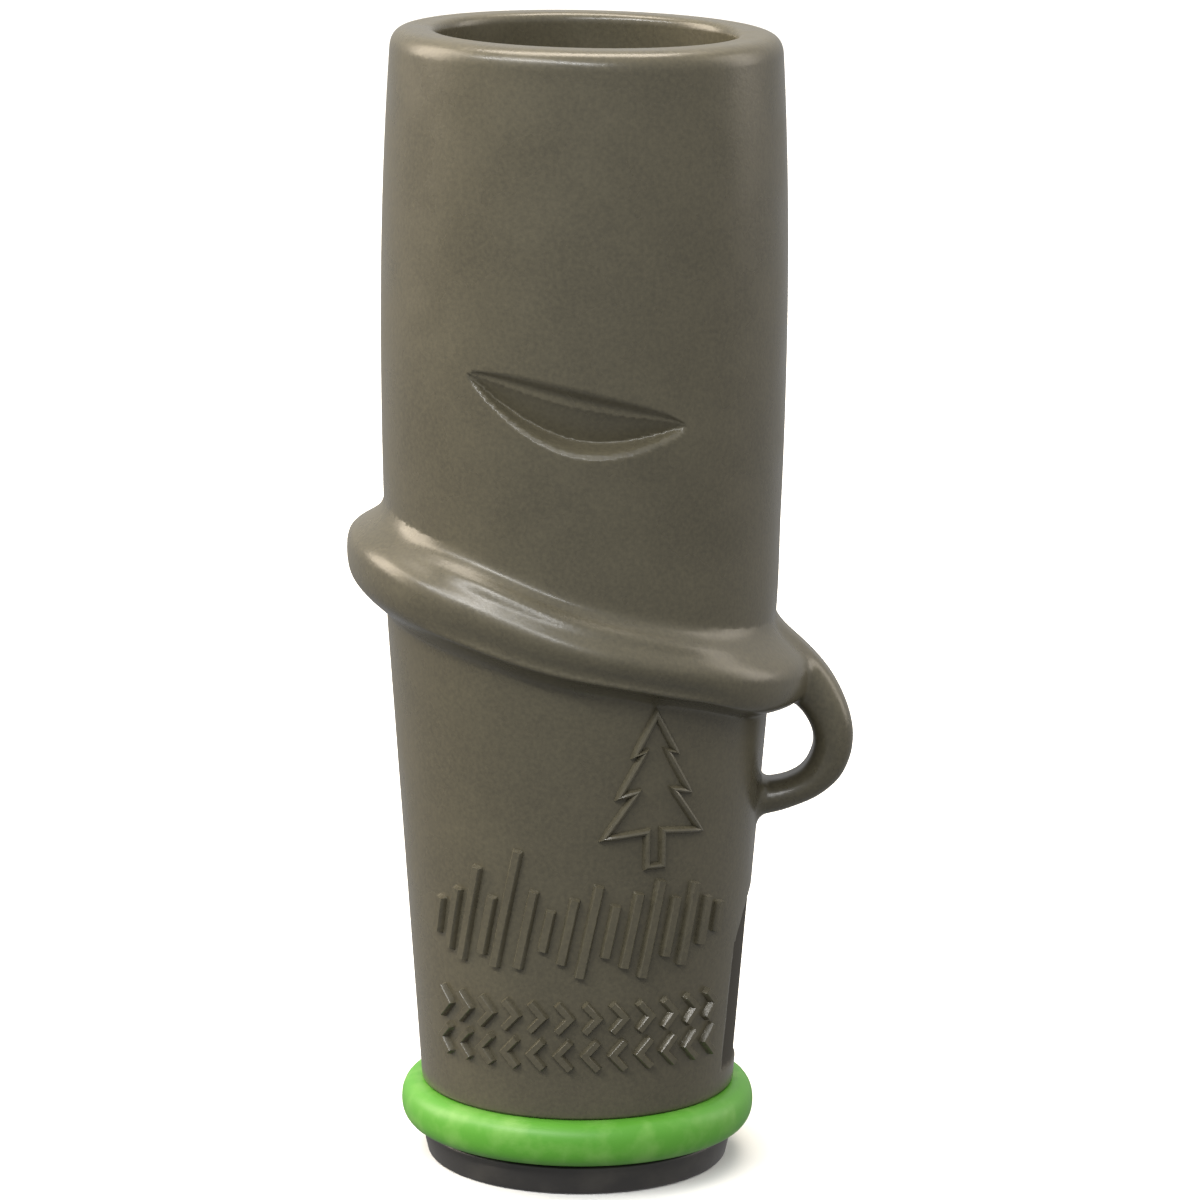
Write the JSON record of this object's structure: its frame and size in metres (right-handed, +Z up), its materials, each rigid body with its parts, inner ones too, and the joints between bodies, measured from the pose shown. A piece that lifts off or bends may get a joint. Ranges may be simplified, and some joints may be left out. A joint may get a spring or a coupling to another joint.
{
  "type": "deer grunt tube call",
  "caption": "Hand-held deer call: soft flexible tube with slanted collar, lanyard eye and band on a hard mouthpiece holding a tunable reed.",
  "frame": {"origin": "middle of the whole call's footprint, on the surface that the mouthpiece rim stands on", "axes": "+Z up the tube to the bell, -Y towards the decorated front, +X towards the lanyard eye; the tube's own axis is at x = -1.8 mm"},
  "size_m": [0.0448, 0.0412, 0.1],
  "materials": {
    "barrel_rubber": "satin moulded elastomer, olive grey-brown",
    "band_rubber": "satin elastomer, bright green",
    "black_plastic": "fine moulded texture, black",
    "black_rubber": "smooth nitrile",
    "reed_film": "translucent polyester film",
    "cork": "cut natural cork"
  },
  "bodies": {
    "insert": {"mouthpiece": "black_plastic", "tone_board": "black_plastic", "reed_wedge": "cork", "bulkhead_seal_ring": "black_rubber"},
    "barrel": {"barrel": "barrel_rubber", "clamp_band": "band_rubber"},
    "reed": {"reed": "reed_film"},
    "tuning_ring": {"tuning_ring": "black_rubber"}
  },
  "joints": [
    {"name": "barrel_pull_off", "type": "slide", "parent": "insert", "child": "barrel", "axis": [0, 0, 1], "range_m": [0, 0.055]},
    {"name": "reed_flex", "type": "hinge", "parent": "insert", "child": "reed", "pos_m": [-0.0018, -0.00057, 0.042], "axis": [1, 0, 0], "range_deg": [-1, 1.5], "stiffness_Nm_per_rad": 0.01},
    {"name": "tuning_ring_slide", "type": "slide", "parent": "insert", "child": "tuning_ring", "axis": [0, 0, -1], "range_m": [0, 0.012]}
  ]
}
